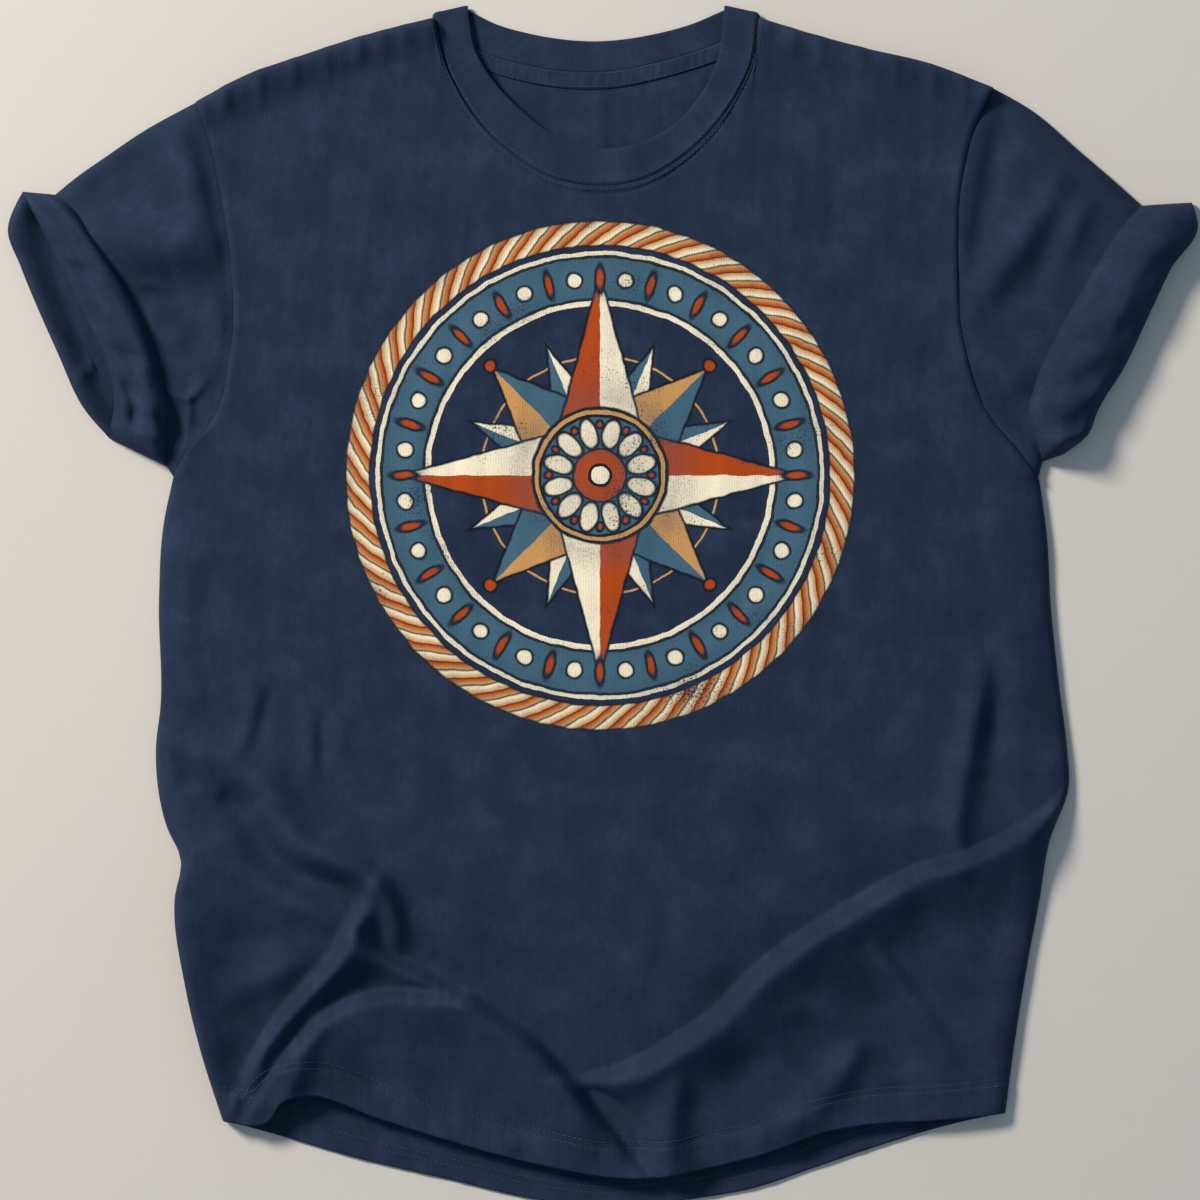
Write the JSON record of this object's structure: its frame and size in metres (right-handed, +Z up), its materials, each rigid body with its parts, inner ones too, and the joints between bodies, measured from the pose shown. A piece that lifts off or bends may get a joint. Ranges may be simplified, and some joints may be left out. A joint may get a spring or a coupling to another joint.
{
  "type": "crew-neck T-shirt with a printed front and turned-up sleeves",
  "caption": "Short-sleeved crew-neck cotton T-shirt laid flat, face up, with rolled cuffs, soft folds near the hem and a round printed design on its chest.",
  "frame": {"origin": "on the underside of the back panel, below the middle of the laid shirt, where it rests on the table", "axes": "+Y runs from the hem to the neck, +X to the right as one looks down on the front, +Z up from the table"},
  "size_m": [0.7642, 0.7737, 0.034],
  "materials": {
    "printed_jersey": "matte garment-dyed cotton jersey with a worn print",
    "jersey": "matte garment-dyed cotton jersey",
    "rib": "matte ribbed cotton knit",
    "tape": "matte cotton tape"
  },
  "bodies": {
    "root": {"front_panel": "printed_jersey", "back_panel": "jersey", "left_sleeve": "jersey", "right_sleeve": "jersey", "neck_rib": "rib", "neck_tape": "tape"}
  },
  "joints": []
}
